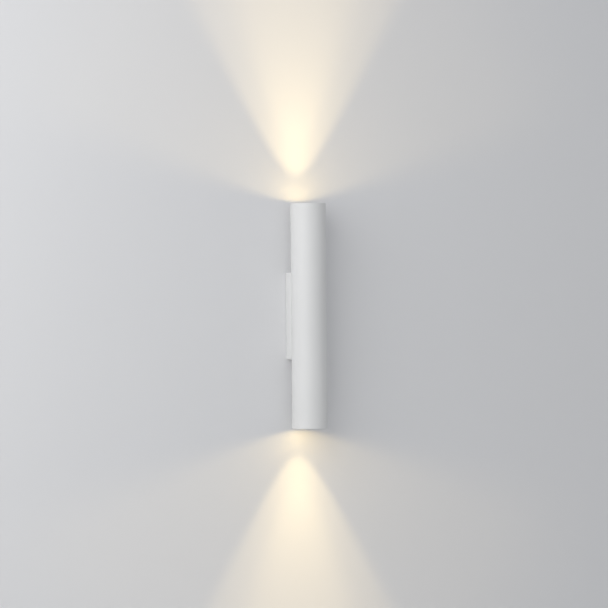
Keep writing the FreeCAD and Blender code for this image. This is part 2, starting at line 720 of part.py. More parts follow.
def make_lamp_pins(end):
    pins = []
    for number, side in enumerate(("", "-")):
        x = f"{side}pin_spacing / 2"
        neck = cylinder(f"{end}_pin_neck_{number}", "pin_neck_diameter", "pin_length", x=x,
                        z=f"{BASE_BACK} - pin_length")
        head = cylinder(f"{end}_pin_head_{number}", "pin_head_diameter", "pin_head_height", x=x,
                        z=f"{BASE_BACK} - pin_length")
        pins.append(fused(f"{end}_pin_{number}", [neck, head]))
    keep(group(f"{end}_pin_pair", pins), f"{end}_lamp_pins", end)


# Push-fit front rings

def make_front_ring(end):
    """Anti-glare ring that holds the lamp in, with a groove for its seal."""
    outer = f"({BORE_RADIUS} - ring_bore_clearance)"
    top = "(lamp_recess - ring_setback)"
    groove = f"({BORE_RADIUS} - seal_bore_clearance - seal_section - seal_groove_clearance)"
    profile = [
        (f"{outer} - ring_foot_wall", "ring_lamp_clearance"),
        (outer, "ring_lamp_clearance"),
        (outer, "seal_height - seal_groove_width / 2"),
        (groove, "seal_height - seal_groove_width / 2"),
        (groove, "seal_height + seal_groove_width / 2"),
        (outer, "seal_height + seal_groove_width / 2"),
        (outer, f"{top} - ring_edge"),
        (f"{outer} - ring_edge", top),
        (f"{outer} - ring_mouth_wall + ring_edge", top),
        (f"{outer} - ring_mouth_wall", f"{top} - ring_edge"),
    ]
    keep(revolved(f"{end}_ring_turned", profile), f"{end}_front_ring", end)


def make_ring_seal(end):
    """Rubber ring in the groove; its rub on the bore keeps the front ring where it is pushed."""
    seal = doc.addObject("Part::Torus", f"{end}_seal_torus")
    bind(seal, Radius1=f"{BORE_RADIUS} - seal_bore_clearance - seal_section / 2", Radius2="seal_section / 2")
    place(seal, z="seal_height")
    keep(group(f"{end}_seal", [seal]), f"{end}_ring_seal", end)


# Terminal block

POLES = ("-", "0 *", "")


def pole_x(pole):
    return f"{pole} terminal_pitch".strip()


def make_terminal_block():
    """Three-pole housing on the middle of the carrier, wire holes up and down, screws to the window."""
    half_width = "(terminal_pitch + terminal_end)"
    body = box("terminal_body", (f"-{half_width}", half_width), (MIDDLE_BACK_Y, TERMINAL_BACK_Y),
               ("-terminal_height / 2", "terminal_height / 2"))
    tools = []
    for number, pole in enumerate(POLES):
        x = pole_x(pole)
        tools.append(cylinder(f"terminal_wire_hole_{number}", "clamp_diameter + 2 * thread_clearance",
                              "terminal_height + 2", x=x, y=TERMINAL_Y, z="-terminal_height / 2 - 1"))
        for side, step in enumerate(("", "-")):
            tools.append(cylinder(f"terminal_access_{number}_{side}",
                                  "terminal_screw_diameter + 2 * screw_hole_clearance",
                                  f"{TERMINAL_BACK_Y} - {TERMINAL_Y} + 1", x=x, y=f"{TERMINAL_BACK_Y} + 1",
                                  z=f"{step}terminal_screw_spacing / 2", turn=ALONG_MINUS_Y))
    for side, step in enumerate(("", "-")):
        tools.append(cylinder(f"terminal_fixing_{side}", "fixing_screw_diameter + 2 * screw_hole_clearance",
                              "terminal_depth + 2", x=f"{step}terminal_pitch / 2", y=f"{TERMINAL_BACK_Y} + 1",
                              turn=ALONG_MINUS_Y))
    keep(cut("terminal_cut", body, tools), "terminal_block")


def make_terminal_clamps():
    """A brass tube in each pole, with two tapped holes."""
    clamps = []
    length = "(terminal_height - 2 * clamp_end_setback)"
    for number, pole in enumerate(POLES):
        x = pole_x(pole)
        tube = cylinder(f"clamp_tube_{number}", "clamp_diameter", length, x=x, y=TERMINAL_Y, z=f"-{length} / 2")
        tools = [cylinder(f"clamp_bore_{number}", "clamp_bore", f"{length} + 2", x=x, y=TERMINAL_Y,
                          z=f"-{length} / 2 - 1")]
        for side, step in enumerate(("", "-")):
            tools.append(cylinder(f"clamp_tap_{number}_{side}", "terminal_screw_diameter + 2 * thread_clearance",
                                  "clamp_diameter", x=x, y=f"{TERMINAL_Y} + clamp_diameter",
                                  z=f"{step}terminal_screw_spacing / 2", turn=ALONG_MINUS_Y))
        clamps.append(cut(f"terminal_clamp_{number}", tube, tools))
    keep(group("terminal_clamp_set", clamps), "terminal_clamps")


def make_terminal_screws():
    tip = f"({TERMINAL_Y} + core_diameter / 2 + core_clearance)"
    top = f"({TERMINAL_BACK_Y} - terminal_screw_recess)"
    screws = [
        cylinder(f"terminal_screw_{number}_{side}", "terminal_screw_diameter", f"{top} - {tip}", x=pole_x(pole),
                 y=top, z=f"{step}terminal_screw_spacing / 2", turn=ALONG_MINUS_Y)
        for number, pole in enumerate(POLES)
        for side, step in enumerate(("", "-"))
    ]
    keep(group("terminal_screw_set", screws), "terminal_screws")


def make_fixing_screws():
    """Two screws between the poles, through the housing into the carrier."""
    screws = []
    for side, step in enumerate(("", "-")):
        x = f"{step}terminal_pitch / 2"
        shank = cylinder(f"fixing_shank_{side}", "fixing_screw_diameter",
                         "terminal_depth + sheet + screw_tip_length", x=x, y=TERMINAL_BACK_Y, turn=ALONG_MINUS_Y)
        head = cylinder(f"fixing_head_{side}", "fixing_head_diameter", "fixing_head_height", x=x,
                        y=f"{TERMINAL_BACK_Y} + fixing_head_height", turn=ALONG_MINUS_Y)
        screws.append(fused(f"fixing_screw_{side}", [shank, head]))
    keep(group("fixing_screw_pair", screws), "terminal_fixing_screws")


# Earth connection and leads

TAG_Y = f"({MIDDLE_BACK_Y} + tag_barrel_diameter / 2)"
TAG_TOP = "(tag_diameter / 2 + tag_barrel_length - earth_screw_height)"


def make_earth_tag():
    """Ring tongue on the carrier with a crimp barrel pointing up."""
    ring = cylinder("tag_ring", "tag_diameter", "tag_thickness", x="earth_screw_offset",
                    y=f"{MIDDLE_BACK_Y} + tag_thickness", z="-earth_screw_height", turn=ALONG_MINUS_Y)
    neck = box("tag_neck", ("earth_screw_offset - tag_barrel_diameter / 2",
                            "earth_screw_offset + tag_barrel_diameter / 2"),
               (MIDDLE_BACK_Y, f"{MIDDLE_BACK_Y} + tag_thickness"),
               ("-earth_screw_height", f"{TAG_TOP} - tag_barrel_length / 2"))
    barrel = cylinder("tag_barrel", "tag_barrel_diameter", "tag_barrel_length", x="earth_screw_offset", y=TAG_Y,
                      z=f"{TAG_TOP} - tag_barrel_length")
    hole = cylinder("tag_hole", "earth_screw_diameter + 2 * thread_clearance", "tag_thickness * 3",
                    x="earth_screw_offset", y=f"{MIDDLE_BACK_Y} + tag_thickness * 2", z="-earth_screw_height",
                    turn=ALONG_MINUS_Y)
    crimp = cylinder("tag_crimp", "core_diameter + 2 * core_clearance", "tag_barrel_length", x="earth_screw_offset",
                     y=TAG_Y, z=f"{TAG_TOP} - tag_barrel_length * 0.8")
    keep(cut("tag_cut", fused("tag_body", [ring, neck, barrel]), [hole, crimp]), "earth_tag")


def make_earth_screw():
    seat = f"{MIDDLE_BACK_Y} + tag_thickness"
    head = cylinder("earth_head", "earth_head_diameter", "earth_head_height", x="earth_screw_offset",
                    y=f"{seat} + earth_head_height", z="-earth_screw_height", turn=ALONG_MINUS_Y)
    shank = cylinder("earth_shank", "earth_screw_diameter", "tag_thickness + sheet + screw_tip_length",
                     x="earth_screw_offset", y=seat, z="-earth_screw_height", turn=ALONG_MINUS_Y)
    keep(fused("earth_screw_body", [head, shank]), "earth_screw")


def rounded_path(points):
    """Straight runs through the points, joined by tangent arcs as large as the runs allow."""
    share = 0.45
    edges = []
    start = points[0]
    for before, corner, after in zip(points, points[1:], points[2:]):
        run_in, run_out = corner - before, after - corner
        reach = share * min(run_in.Length, run_out.Length)
        half_turn = run_in.getAngle(run_out) / 2
        radius = reach / math.tan(half_turn)
        entry = corner - run_in.normalize() * reach
        leave = corner + run_out.normalize() * reach
        inward = ((entry - corner) + (leave - corner)).normalize()
        middle = corner + inward * (radius / math.cos(half_turn) - radius)
        edges.append(Part.LineSegment(start, entry).toShape())
        edges.append(Part.Arc(entry, middle, leave).toShape())
        start = leave
    edges.append(Part.LineSegment(start, points[-1]).toShape())
    return Part.Wire(edges)


def make_lead(label, route, core_low, core_high):
    """An insulated lead along its route, its bare core standing out of both ends."""
    points = [FreeCAD.Vector(*(value(place_sum) for place_sum in point)) for point in route]
    path = rounded_path(points)
    way = (points[1] - points[0]).normalize()
    section = Part.Wire(Part.Circle(points[0], way, value("lead_diameter / 2")).toShape())
    sleeve = path.makePipeShell([section], True, False)
    away = (points[-1] - points[-2]).normalize()
    core_radius = value("core_diameter / 2")
    first = Part.makeCylinder(core_radius, value(core_low), points[0], -way)
    last = Part.makeCylinder(core_radius, value(core_high), points[-1], away)
    lead = doc.addObject("Part::Feature", label)
    lead.Shape = sleeve.fuse([first, last])
    print(label, "length", round(path.Length, 1))
    keep(lead, label)


def lamp_lead_route(end, holder_side, pole, shelf_side):
    """From the back of the lampholder, in through the shelf's hole, to its pole."""
    up = "" if end == "upper" else "-"
    holder_x = f"{holder_side}pin_spacing / 2"
    shelf_x = f"{shelf_side}lead_spread / 2"
    clamp_end = "(terminal_height / 2 - clamp_end_setback)"
    above_flange = f"({LEAD_TOP} - lead_drop)"
    return [
        (holder_x, AXIS_Y, f"{up}{LEAD_TOP}"),
        (holder_x, AXIS_Y, f"{up}{above_flange}"),
        (shelf_x, TERMINAL_Y, f"{up}({above_flange} - lead_drop)"),
        (shelf_x, TERMINAL_Y, f"{up}(shelf_spacing / 2 - lead_turn)"),
        (pole_x(pole), TERMINAL_Y, f"{up}(shelf_spacing / 2 - 2 * lead_turn)"),
        (pole_x(pole), TERMINAL_Y, f"{up}{clamp_end}"),
    ]


def make_leads():
    crimp = "barrel_length * 0.6"
    clamped = "terminal_height / 2 - clamp_end_setback - terminal_screw_spacing / 2 + terminal_screw_diameter / 2"
    for end in ENDS:
        make_lead(f"{end}_live_lead", lamp_lead_route(end, "-", POLES[0], "-"), crimp, clamped)
        make_lead(f"{end}_neutral_lead", lamp_lead_route(end, "", POLES[1], ""), crimp, clamped)
    earth_route = [
        ("earth_screw_offset", TAG_Y, TAG_TOP),
        ("earth_screw_offset", TAG_Y, f"{TAG_TOP} + earth_lead_run"),
        (pole_x(POLES[2]), TERMINAL_Y, "-terminal_height / 2 - earth_lead_run"),
        (pole_x(POLES[2]), TERMINAL_Y, "-(terminal_height / 2 - clamp_end_setback)"),
    ]
    make_lead("earth_lead", earth_route, "tag_barrel_length * 0.7", clamped)


def check_and_write():
    doc.recompute()
    for item in doc.Objects:
        if "Invalid" in item.State or "Error" in item.State:
            raise RuntimeError(f"{item.Label} did not compute: {item.State}")
    for label, item in sub_parts.items():
        if item.Shape.isNull() or not item.Shape.isValid():
            raise RuntimeError(f"{label} is not a valid solid")
    os.makedirs("parts", exist_ok=True)
    for label, item in sub_parts.items():
        item.Shape.exportStep(f"parts/{label}.step")
        print(label, len(item.Shape.Solids), round(item.Shape.Volume, 1))


def fill_sheet():
    for row, (alias, size) in enumerate(DRIVING_SIZES.items(), 1):
        sheet.set(f"A{row}", alias)
        sheet.set(f"B{row}", str(size))
        sheet.setAlias(f"B{row}", alias)
    doc.recompute()


fill_sheet()
make_wall_plate()
make_grommet()
make_tube()
make_mount_block()
make_locking_screws()
make_clamp_screws()
make_rivet_nuts()
make_carrier()
for tube_end in ENDS:
    make_lampholder(tube_end)
    make_contacts(tube_end)
    make_holder_screws(tube_end)
    make_lamp_shell(tube_end)
    make_lamp_lens(tube_end)
    make_lamp_board(tube_end)
    make_lamp_reflector(tube_end)
    make_lamp_base(tube_end)
    make_lamp_pins(tube_end)
    make_front_ring(tube_end)
    make_ring_seal(tube_end)
make_terminal_block()
make_terminal_clamps()
make_terminal_screws()
make_fixing_screws()
make_earth_tag()
make_earth_screw()
make_leads()
check_and_write()
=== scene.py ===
import math

import bmesh
import bpy
from mathutils import Matrix, Vector


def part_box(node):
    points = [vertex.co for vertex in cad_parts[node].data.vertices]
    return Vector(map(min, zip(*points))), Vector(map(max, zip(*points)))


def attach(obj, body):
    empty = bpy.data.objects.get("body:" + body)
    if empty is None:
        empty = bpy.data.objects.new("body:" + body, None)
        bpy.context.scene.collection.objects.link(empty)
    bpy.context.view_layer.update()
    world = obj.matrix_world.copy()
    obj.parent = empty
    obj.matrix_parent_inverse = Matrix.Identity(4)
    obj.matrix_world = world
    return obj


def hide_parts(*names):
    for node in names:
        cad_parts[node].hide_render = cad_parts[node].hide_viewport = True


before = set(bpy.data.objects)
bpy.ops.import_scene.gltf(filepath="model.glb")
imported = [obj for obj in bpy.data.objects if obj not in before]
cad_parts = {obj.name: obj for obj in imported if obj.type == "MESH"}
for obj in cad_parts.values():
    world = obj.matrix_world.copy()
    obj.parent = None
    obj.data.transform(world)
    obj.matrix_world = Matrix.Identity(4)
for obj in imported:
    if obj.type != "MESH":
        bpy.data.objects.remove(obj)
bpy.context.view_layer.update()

mm = 0.001
ends = ("upper", "lower")

# Places that the pieces share, read from the frame
tubeLow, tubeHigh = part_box("tube_body")
tubeMiddle = (tubeLow + tubeHigh) / 2
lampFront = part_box("upper_lamp_shell")[1].z


# Colours and nodes

def linear(hexColour):  # sRGB hex to scene linear
    channels = [int(hexColour[at:at + 2], 16) / 255 for at in (1, 3, 5)]
    return [c / 12.92 if c <= 0.04045 else ((c + 0.055) / 1.055) ** 2.4 for c in channels] + [1]


def perMm(size):  # texture scale for a pattern that repeats every so many millimetres
    return 1000 / size


def addNode(tree, kind, settings=None, links=None):
    node = tree.nodes.new(kind)
    for name, value in (settings or {}).items():
        if isinstance(name, str) and hasattr(node, name):
            setattr(node, name, value)
        else:
            node.inputs[name].default_value = value
    for name, source in (links or {}).items():
        tree.links.new(source, node.inputs[name])
    return node


def plainMaterial(name, hexColour, metallic, roughness):
    material = bpy.data.materials.new(name)
    material.use_nodes = True
    surface = material.node_tree.nodes["Principled BSDF"]
    surface.inputs["Base Color"].default_value = linear(hexColour)
    surface.inputs["Metallic"].default_value = metallic
    surface.inputs["Roughness"].default_value = roughness
    return material, material.node_tree, surface


# A finish is a colour that drifts to a second one over patches, a roughness that is uneven by so much, and a
# fine relief of that grain and depth. Stretch packs the grain closer along an axis, so that it runs as lines
# across it. Sizes are in millimetres.
noise = {"detail": 3, "patchFrom": 0.35, "patchTo": 0.65, "glossFrom": 0.3, "glossTo": 0.7}


def makeMaterial(name, finish, **fixed):
    material, tree, surface = plainMaterial(name, finish["colour"], finish["metallic"], finish["roughness"])
    place = addNode(tree, "ShaderNodeTexCoord").outputs["Object"]
    lined = addNode(tree, "ShaderNodeMapping", {"Scale": finish.get("stretch", (1, 1, 1))}, {"Vector": place})
    relief = addNode(tree, "ShaderNodeTexNoise", {"Scale": perMm(finish["grain"]), "Detail": noise["detail"]},
                     {"Vector": lined.outputs[0]})
    drift = addNode(tree, "ShaderNodeTexNoise", {"Scale": perMm(finish["patch"]), "Detail": noise["detail"]},
                    {"Vector": place})
    share = addNode(tree, "ShaderNodeMapRange",
                    {"From Min": noise["patchFrom"], "From Max": noise["patchTo"]},
                    {"Value": drift.outputs["Fac"]})
    colour = addNode(tree, "ShaderNodeMix", {"data_type": "RGBA", 6: linear(finish["colour"]),
                                             7: linear(finish["second"])}, {0: share.outputs[0]})
    gloss = addNode(tree, "ShaderNodeMapRange", {"From Min": noise["glossFrom"], "From Max": noise["glossTo"],
                                                 "To Min": finish["roughness"] - finish["uneven"],
                                                 "To Max": finish["roughness"] + finish["uneven"]},
                    {"Value": relief.outputs["Fac"]})
    bump = addNode(tree, "ShaderNodeBump", {"Strength": 1, "Distance": finish["depth"] * mm},
                   {"Height": relief.outputs["Fac"]})
    tree.links.new(colour.outputs[2], surface.inputs["Base Color"])
    tree.links.new(gloss.outputs[0], surface.inputs["Roughness"])
    tree.links.new(bump.outputs[0], surface.inputs["Normal"])
    for socket, value in fixed.items():
        surface.inputs[socket.replace("_", " ")].default_value = value
    return material


def overlay(material, hexColour, share):  # another colour over the finish, full where the share is 1
    tree = material.node_tree
    base = tree.nodes["Principled BSDF"].inputs["Base Color"]
    colour = addNode(tree, "ShaderNodeMix", {"data_type": "RGBA", 7: linear(hexColour)},
                     {0: share.outputs[0], 6: base.links[0].from_socket})
    tree.links.new(colour.outputs[2], base)


def speckle(material, specks):  # small spots of another colour over the finish
    tree = material.node_tree
    place = tree.nodes["Texture Coordinate"].outputs["Object"]
    spots = addNode(tree, "ShaderNodeTexNoise", {"Scale": perMm(specks["size"]), "Detail": specks["detail"]},
                    {"Vector": place})
    share = addNode(tree, "ShaderNodeMapRange", {"From Min": specks["from"], "From Max": specks["to"],
                                                 "To Max": specks["amount"]}, {"Value": spots.outputs["Fac"]})
    overlay(material, specks["colour"], share)
    return material


# White polyester powder coat, sprayed and baked on aluminium: even and satin-matt. Its orange peel is near
# 1 mm in life and drawn at 2.4 mm so that it shows.
powderCoat = {"colour": "#E0E0DF", "second": "#DEDEDD", "patch": 90, "metallic": 0, "roughness": 0.5,
              "uneven": 0.02, "grain": 2.4, "depth": 0.018}
coat = makeMaterial("whitePowderCoat", powderCoat)

# Steel sheet, zinc plated and clear passivated: grey with a faint straw and blue drift, and drawn lines along
# the strip
zincSheetFinish = {"colour": "#BFC3C7", "second": "#B9BAB2", "patch": 14, "metallic": 1, "roughness": 0.34,
                   "uneven": 0.08, "grain": 3, "depth": 0.02, "stretch": (8, 8, 0.35)}
zincSheet = makeMaterial("zincPlatedSheet", zincSheetFinish)

# Steel screws, rolled and zinc plated: brighter than the sheet, with a barrel-plated unevenness
zincScrewFinish = {"colour": "#C9CDD1", "second": "#B8B9B4", "patch": 3, "metallic": 1, "roughness": 0.28,
                   "uneven": 0.1, "grain": 0.4, "depth": 0.008}
zincSteel = makeMaterial("zincPlatedSteel", zincScrewFinish)

# Alloy steel set screws, black oxide from a hot bath: nearly black and slightly oily
blackOxideFinish = {"colour": "#2B2B2D", "second": "#383634", "patch": 2, "metallic": 1, "roughness": 0.4,
                    "uneven": 0.08, "grain": 0.3, "depth": 0.006}
blackSteel = makeMaterial("blackOxideSteel", blackOxideFinish)

# EPDM rubber, moulded: matt black with a greyish bloom
rubberFinish = {"colour": "#1E1E1F", "second": "#2A2A2B", "patch": 4, "metallic": 0, "roughness": 0.72,
                "uneven": 0.08, "grain": 0.5, "depth": 0.02}
rubber = makeMaterial("mouldedRubber", rubberFinish)

# Polyamide, injection moulded with an eroded texture: warm white and a little translucent
nylonFinish = {"colour": "#EDEADF", "second": "#E6E2D4", "patch": 8, "metallic": 0, "roughness": 0.46,
               "uneven": 0.06, "grain": 0.45, "depth": 0.02}
nylon = makeMaterial("mouldedNylon", nylonFinish, Subsurface_Weight=0.15, Subsurface_Scale=1.5 * mm)

# Brass, turned or stamped and left bare: yellow with a slight tarnish
brassFinish = {"colour": "#D8B765", "second": "#B9914A", "patch": 3, "metallic": 1, "roughness": 0.3,
               "uneven": 0.08, "grain": 0.5, "depth": 0.008}
brass = makeMaterial("bareBrass", brassFinish)

# Brass dipped in tin: pale grey with soft ripples
tinFinish = {"colour": "#CFCDC6", "second": "#BDBBB3", "patch": 2.5, "metallic": 1, "roughness": 0.36,
             "uneven": 0.08, "grain": 0.9, "depth": 0.02}
tin = makeMaterial("tinnedBrass", tinFinish)

# Nickel plate over turned brass: bright and faintly yellow
nickelFinish = {"colour": "#D6D0C4", "second": "#C9C3B6", "patch": 2, "metallic": 1, "roughness": 0.18,
                "uneven": 0.05, "grain": 0.4, "depth": 0.004, "stretch": (1, 1, 6)}
nickel = makeMaterial("nickelPlate", nickelFinish)

# Steatite, pressed and fired without a glaze: cream, dense and dry, with fine iron specks
steatiteFinish = {"colour": "#EAE4D6", "second": "#E1DAC9", "patch": 6, "metallic": 0, "roughness": 0.58,
                  "uneven": 0.07, "grain": 0.5, "depth": 0.03}
ironSpecks = {"colour": "#9C8B72", "size": 0.6, "detail": 1, "from": 0.66, "to": 0.72, "amount": 0.5}
steatite = speckle(makeMaterial("firedSteatite", steatiteFinish), ironSpecks)

# PBT, injection moulded for the lamp's cup and base: clean white with a satin skin
lampPlasticFinish = {"colour": "#E9E9E7", "second": "#E3E3E0", "patch": 20, "metallic": 0, "roughness": 0.36,
                     "uneven": 0.05, "grain": 0.6, "depth": 0.01}
lampPlastic = makeMaterial("mouldedLampPlastic", lampPlasticFinish)

# Polycarbonate lens, moulded with a frosted face, lit from behind: glows warm white all over
lensFinish = {"colour": "#F3EEE2", "second": "#EDE6D6", "patch": 9, "metallic": 0, "roughness": 0.42,
              "uneven": 0.05, "grain": 0.8, "depth": 0.02}
lampGlow = {"colour": "#FFE2A2", "lensStrength": 3.2}
frosted = makeMaterial("frostedLens", lensFinish, Emission_Color=linear(lampGlow["colour"]),
                       Emission_Strength=lampGlow["lensStrength"])

# Aluminium circuit board under a white solder mask: satin white with a slight bluish cast
maskFinish = {"colour": "#E6E8E6", "second": "#DFE2E1", "patch": 5, "metallic": 0, "roughness": 0.4,
              "uneven": 0.05, "grain": 0.35, "depth": 0.006}
mask = makeMaterial("whiteSolderMask", maskFinish)

# Phosphor in silicone over the chips: a deep yellow pad, slightly soft
phosphorFinish = {"colour": "#E9C23A", "second": "#DDB02E", "patch": 2, "metallic": 0, "roughness": 0.5,
                  "uneven": 0.06, "grain": 0.3, "depth": 0.02}
phosphor = makeMaterial("ledPhosphor", phosphorFinish)

# Polycarbonate with an evaporated aluminium coat: a clean mirror with a slight ripple
mirrorFinish = {"colour": "#E2E3E4", "second": "#DCDEDF", "patch": 12, "metallic": 1, "roughness": 0.12,
                "uneven": 0.03, "grain": 2, "depth": 0.01}
mirrorCoat = makeMaterial("evaporatedAluminium", mirrorFinish)

# Silicone lead insulation, extruded: satin and slightly dusty
brownFinish = {"colour": "#6B3F22", "second": "#5E371E", "patch": 5, "metallic": 0, "roughness": 0.52,
               "uneven": 0.06, "grain": 0.4, "depth": 0.012}
blueFinish = {**brownFinish, "colour": "#2F66A8", "second": "#295C9A"}
greenFinish = {**brownFinish, "colour": "#3F8A35", "second": "#387D30"}
brownSilicone = makeMaterial("brownSilicone", brownFinish)
blueSilicone = makeMaterial("blueSilicone", blueFinish)
earthStripe = {"colour": "#E3D23A", "from": 0.25, "to": 0.3}


def earthSilicone():  # green insulation with a yellow stripe down one side
    material = makeMaterial("earthSilicone", greenFinish)
    tree = material.node_tree
    facing = addNode(tree, "ShaderNodeSeparateXYZ", {},
                     {0: addNode(tree, "ShaderNodeNewGeometry").outputs["Normal"]})
    stripe = addNode(tree, "ShaderNodeMapRange",
                     {"From Min": earthStripe["from"], "From Max": earthStripe["to"]},
                     {"Value": facing.outputs["X"]})
    overlay(material, earthStripe["colour"], stripe)
    return material


stripedSilicone = earthSilicone()
print("materials made:", len(bpy.data.materials))

# What each carried-over node is made of
nodeMaterials = {
    "tube_body": coat, "mount_block": coat, "upper_front_ring": coat, "lower_front_ring": coat,
    "wall_plate": zincSheet, "lamp_carrier": zincSheet, "locking_screws": blackSteel,
    "block_screws": zincSteel, "rivet_nuts": zincSteel, "terminal_screws": zincSteel,
    "terminal_fixing_screws": zincSteel,
    "cable_grommet": rubber, "terminal_block": nylon, "terminal_clamps": brass, "earth_tag": tin,
    "earth_screw": brass, "earth_lead": stripedSilicone,
}
lampEndMaterials = {
    "lampholder": steatite, "contacts": brass, "holder_screws": zincSteel, "lamp_shell": lampPlastic,
    "lamp_lens": frosted, "led_board": mask, "lamp_reflector": mirrorCoat, "lamp_base": lampPlastic,
    "lamp_pins": nickel, "ring_seal": rubber, "live_lead": brownSilicone, "neutral_lead": blueSilicone,
}
for end in ends:
    nodeMaterials.update({f"{end}_{name}": material for name, material in lampEndMaterials.items()})
for name, material in nodeMaterials.items():
    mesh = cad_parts[name].data
    mesh.materials.clear()
    mesh.materials.append(material)


# Turned shapes: rings of points round an axis, in millimetres, joined into one skin
sharpAngle = 35  # edges that turn by more degrees stay crisp
mostOfSide = 0.45  # a rounded corner takes no more of a side
tiny = 1e-6


class Skin:
    def __init__(self, name):
        self.name, self.points, self.faces, self.finish = name, [], [], []
        self.materials = []

    def ring(self, frameOf, radius, height, count):  # radius and height may be functions of the angle
        if radius == 0:
            self.points.append(frameOf @ Vector((0, 0, height)))
            return [len(self.points) - 1]
        first = len(self.points)
        for step in range(count):
            angle = 2 * math.pi * step / count
            r = radius(angle) if callable(radius) else radius
            h = height(angle) if callable(height) else height
            self.points.append(frameOf @ Vector((r * math.cos(angle), r * math.sin(angle), h)))
        return list(range(first, first + count))

    def join(self, low, high, material):
        count = max(len(low), len(high))
        for step in range(count):
            after = (step + 1) % count
            corners = [low[step % len(low)], low[after % len(low)],
                       high[after % len(high)], high[step % len(high)]]
            face = list(dict.fromkeys(corners))
            if len(face) > 2:
                self.faces.append(face)
                self.finish.append(self.slotOf(material))

    def slotOf(self, material):
        if material not in self.materials:
            self.materials.append(material)
        return self.materials.index(material)

    def turn(self, frameOf, rows, material, count=48, closed=False):
        rings = [self.ring(frameOf, radius, height, count) for radius, height in rows]
        for low, high in zip(rings, rings[1:]):
            self.join(low, high, material)
        if closed:
            self.join(rings[-1], rings[0], material)

    def loft(self, frameOf, outlines, material):  # each outline is a list of points, the ends are capped
        first = len(self.points)
        count = len(outlines[0])
        for outline in outlines:
            self.points.extend(frameOf @ Vector(point) for point in outline)
        for row in range(len(outlines) - 1):
            low = list(range(first + row * count, first + (row + 1) * count))
            self.join(low, [at + count for at in low], material)
        self.faces.append(list(range(first + count - 1, first - 1, -1)))
        self.faces.append([first + (len(outlines) - 1) * count + at for at in range(count)])
        self.finish.extend([self.slotOf(material)] * 2)

    def finished(self, body, slot, *nodes, smooth=sharpAngle):
        mesh = bpy.data.meshes.new(self.name)
        mesh.from_pydata([point * mm for point in self.points], [], self.faces)
        for material in self.materials:
            mesh.materials.append(material)
        mesh.polygons.foreach_set("material_index", self.finish)
        mesh.validate()
        item = bpy.data.objects.new(self.name, mesh)
        bpy.context.scene.collection.objects.link(item)
        outward(mesh)
        mesh.shade_smooth()
        mesh.set_sharp_from_angle(angle=math.radians(smooth))
        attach(item, body)
        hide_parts(*nodes)
        return item


def outward(mesh):  # all faces of each closed shell face out
    shape = bmesh.new()
    shape.from_mesh(mesh)
    bmesh.ops.recalc_face_normals(shape, faces=shape.faces)
    shape.to_mesh(mesh)
    shape.free()


def softened(outline, radius, steps=3, closed=True):  # the outline with its corners rounded off
    rounded = []
    for at, corner in enumerate(outline):
        if not closed and at in (0, len(outline) - 1):
            rounded.append(corner)
            continue
        here = Vector(corner)
        before = Vector(outline[at - 1]) - here
        after = Vector(outline[(at + 1) % len(outline)]) - here
        start = here + before * min(mostOfSide, radius / max(before.length, tiny))
        end = here + after * min(mostOfSide, radius / max(after.length, tiny))
        for step in range(steps + 1):
            share = step / steps
            point = start * (1 - share) ** 2 + here * 2 * share * (1 - share) + end * share ** 2
            rounded.append(tuple(point))
    return rounded


# Screw thread: its depth is a share of the pitch, and the slope shallows the groove on each side
thread = {"depth": 0.61, "rowsPerPitch": 6, "groove": 1.5, "slope": 4.5}


def threaded(diameter, pitch, high, low):  # rows of a screw thread, down from high to low
    depth = thread["depth"] * pitch
    rows = []
    count = max(2, round((high - low) / pitch * thread["rowsPerPitch"]))
    for row in range(count + 1):
        height = high - (high - low) * row / count
        fade = min(1, (high - height) / pitch, (height - low) / pitch)  # the thread runs out at both ends

        def radius(angle, height=height, fade=fade):
            phase = (height / pitch - angle / (2 * math.pi)) % 1
            groove = min(1, max(0, thread["groove"] - abs(phase - 0.5) * thread["slope"]))
            return diameter / 2 - depth * groove * fade
        rows.append((radius, height))
    return rows


def offNearest(angle, count):  # how far an angle is from the nearest of so many even steps round the axis
    width = 2 * math.pi / count
    return abs((angle + width / 2) % width - width / 2)


# Outlines of driving recesses, as radius by angle
def armedRecess(arms, width, length):
    return lambda angle: min(length / 2, width / 2 / max(math.sin(offNearest(angle, arms)), tiny))


def hexRecess(across):
    return lambda angle: across / 2 / math.cos(offNearest(angle, 6))


def scaled(radius, share):
    return lambda angle: radius(angle) * share


# Screw shapes: the recess, the flat and the dome are shares of the head's radius and height, the tip is a
# share of the diameter or radius, and the rest is in millimetres
panShape = {"recessWidth": 0.3, "recessPoint": 0.25, "recessFoot": (0.7, 0.3), "flat": 0.62,
            "dome": ((0.8, 0.94), (0.92, 0.8), (0.985, 0.55), (1, 0.3)), "edge": 0.06, "neck": 0.1,
            "point": 0.5, "tip": 0.36}
grubShape = {"recessPoint": 1.1, "bevel": 0.25, "point": 0.3, "tip": 0.6}


def panScrew(skin, frameOf, screw, material):  # pan head up, seat at height 0
    radius, head, bottom = screw["head"] / 2, screw["headHeight"], -screw["length"]
    recess = armedRecess(4, screw["recess"] * panShape["recessWidth"], screw["recess"])
    footShare, footHeight = panShape["recessFoot"]
    rows = [(0, head * panShape["recessPoint"]), (scaled(recess, footShare), head * footHeight),
            (recess, head), (radius * panShape["flat"], head)]
    rows += [(radius * side, head * up) for side, up in panShape["dome"]]
    rows += [(radius, panShape["edge"]), (radius - panShape["edge"], 0), (screw["diameter"] / 2, 0)]
    rows += threaded(screw["diameter"], screw["pitch"], -panShape["neck"], bottom + panShape["point"])
    rows += [(screw["diameter"] * panShape["tip"], bottom), (0, bottom)]
    skin.turn(frameOf, rows, material)


